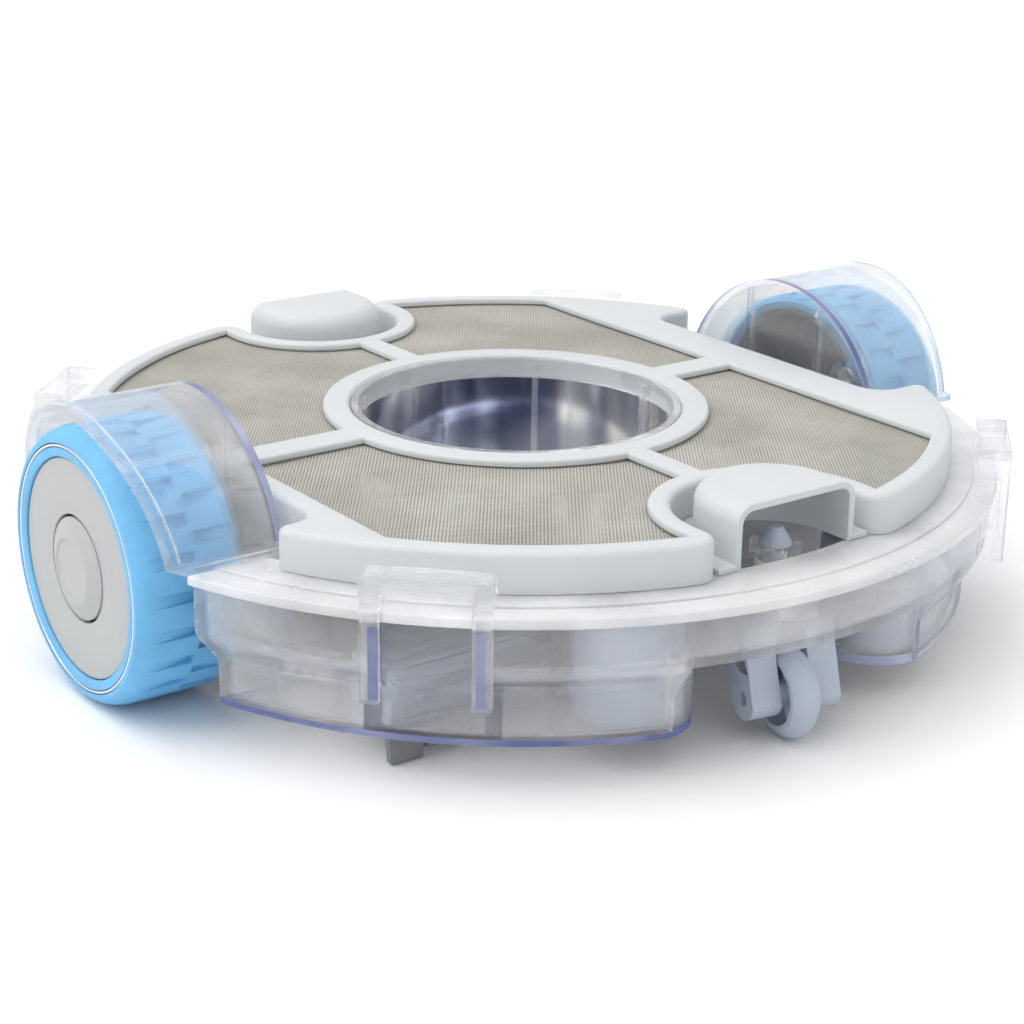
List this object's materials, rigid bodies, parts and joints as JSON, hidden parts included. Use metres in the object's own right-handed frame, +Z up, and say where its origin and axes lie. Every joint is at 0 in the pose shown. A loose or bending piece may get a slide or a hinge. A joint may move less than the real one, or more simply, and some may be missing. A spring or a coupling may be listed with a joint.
{
  "type": "pool cleaner base unit",
  "caption": "Round base unit of a pool cleaning robot: clear tray on drive wheels and swivel casters, with a lift-off filter deck around a centre well.",
  "frame": {"origin": "on the ground under the centre of the unit", "axes": "+Z up, X along the drive wheel axle, Y along the direction of travel"},
  "size_m": [0.383, 0.372, 0.1095],
  "materials": {
    "clear_plastic": "clear, polished",
    "smoked_plastic": "polished",
    "deck_plastic": "satin",
    "screen_cloth": "fine woven mesh",
    "tyre_rubber": "satin",
    "hub_plastic": "satin",
    "drum_plastic": "satin",
    "caster_plastic": "satin",
    "bush_plastic": "satin",
    "lip_plastic": "matt",
    "steel": "bright"
  },
  "bodies": {
    "tray": {"base_tray_front_left": "clear_plastic", "base_tray_front_right": "clear_plastic", "base_tray_rear_right": "clear_plastic", "base_tray_rear_left": "clear_plastic", "latch_frame_front_left": "clear_plastic", "latch_frame_front_right": "clear_plastic", "latch_frame_rear_right": "clear_plastic", "latch_frame_rear_left": "clear_plastic", "wheel_cover_right": "clear_plastic", "wheel_cover_left": "clear_plastic", "axle_left": "steel", "axle_right": "steel", "caster_bush_front": "bush_plastic", "caster_bush_rear": "bush_plastic", "caster_collar_front": "clear_plastic", "caster_collar_rear": "clear_plastic", "ballast_cup_front_left": "caster_plastic", "ballast_cup_front_right": "caster_plastic", "ballast_cup_rear_right": "caster_plastic", "ballast_cup_rear_left": "caster_plastic", "ballast_slug_front_left": "steel", "ballast_slug_front_right": "steel", "ballast_slug_rear_right": "steel", "ballast_slug_rear_left": "steel", "intake_duct_front": "caster_plastic", "intake_duct_rear": "caster_plastic", "scraper_lip_front": "lip_plastic", "scraper_lip_rear": "lip_plastic"},
    "filter": {"filter_deck": "deck_plastic", "screen_front_left": "screen_cloth", "screen_front_right": "screen_cloth", "screen_rear_right": "screen_cloth", "screen_rear_left": "screen_cloth", "caster_hood_front": "deck_plastic", "caster_hood_rear": "deck_plastic", "well_cup": "smoked_plastic", "well_ring": "clear_plastic"},
    "wheel_left": {"tyre_left": "tyre_rubber", "trim_ring_left": "steel", "hub_disc_left": "hub_plastic", "hub_cap_left": "hub_plastic", "wheel_drum_left": "drum_plastic", "wheel_bolt_left_1": "steel", "wheel_bolt_left_2": "steel"},
    "wheel_right": {"tyre_right": "tyre_rubber", "trim_ring_right": "steel", "hub_disc_right": "hub_plastic", "hub_cap_right": "hub_plastic", "wheel_drum_right": "drum_plastic", "wheel_bolt_right_1": "steel", "wheel_bolt_right_2": "steel"},
    "caster_front": {"caster_fork_front": "caster_plastic", "caster_pin_front": "steel"},
    "caster_rear": {"caster_fork_rear": "caster_plastic", "caster_pin_rear": "steel"},
    "caster_roller_front": {"caster_wheel_front": "caster_plastic"},
    "caster_roller_rear": {"caster_wheel_rear": "caster_plastic"},
    "flap_front": {"intake_flap_front": "caster_plastic"},
    "flap_rear": {"intake_flap_rear": "caster_plastic"}
  },
  "joints": [
    {"name": "filter_lift", "type": "slide", "parent": "tray", "child": "filter", "axis": [0, 0, 1], "range_m": [0, 0.12]},
    {"name": "wheel_left_spin", "type": "hinge", "parent": "tray", "child": "wheel_left", "pos_m": [-0.168, 0, 0.05], "axis": [1, 0, 0], "continuous": true},
    {"name": "wheel_right_spin", "type": "hinge", "parent": "tray", "child": "wheel_right", "pos_m": [0.168, 0, 0.05], "axis": [1, 0, 0], "continuous": true},
    {"name": "caster_front_swivel", "type": "hinge", "parent": "tray", "child": "caster_front", "pos_m": [0, -0.15, 0.05], "axis": [0, 0, 1], "continuous": true},
    {"name": "caster_rear_swivel", "type": "hinge", "parent": "tray", "child": "caster_rear", "pos_m": [0, 0.15, 0.05], "axis": [0, 0, 1], "continuous": true},
    {"name": "caster_front_roll", "type": "hinge", "parent": "caster_front", "child": "caster_roller_front", "pos_m": [-0.0027, -0.16272, 0.0165], "axis": [0.9781, -0.2079, 0], "continuous": true},
    {"name": "caster_rear_roll", "type": "hinge", "parent": "caster_rear", "child": "caster_roller_rear", "pos_m": [0.0027, 0.16272, 0.0165], "axis": [0.9781, -0.2079, 0], "continuous": true},
    {"name": "flap_front_hinge", "type": "hinge", "parent": "tray", "child": "flap_front", "pos_m": [-0.09, -0.0812, 0.0351], "axis": [-1, 0, 0], "range_deg": [0, 65]},
    {"name": "flap_rear_hinge", "type": "hinge", "parent": "tray", "child": "flap_rear", "pos_m": [0.09, 0.0812, 0.0351], "axis": [1, 0, 0], "range_deg": [0, 65]}
  ]
}
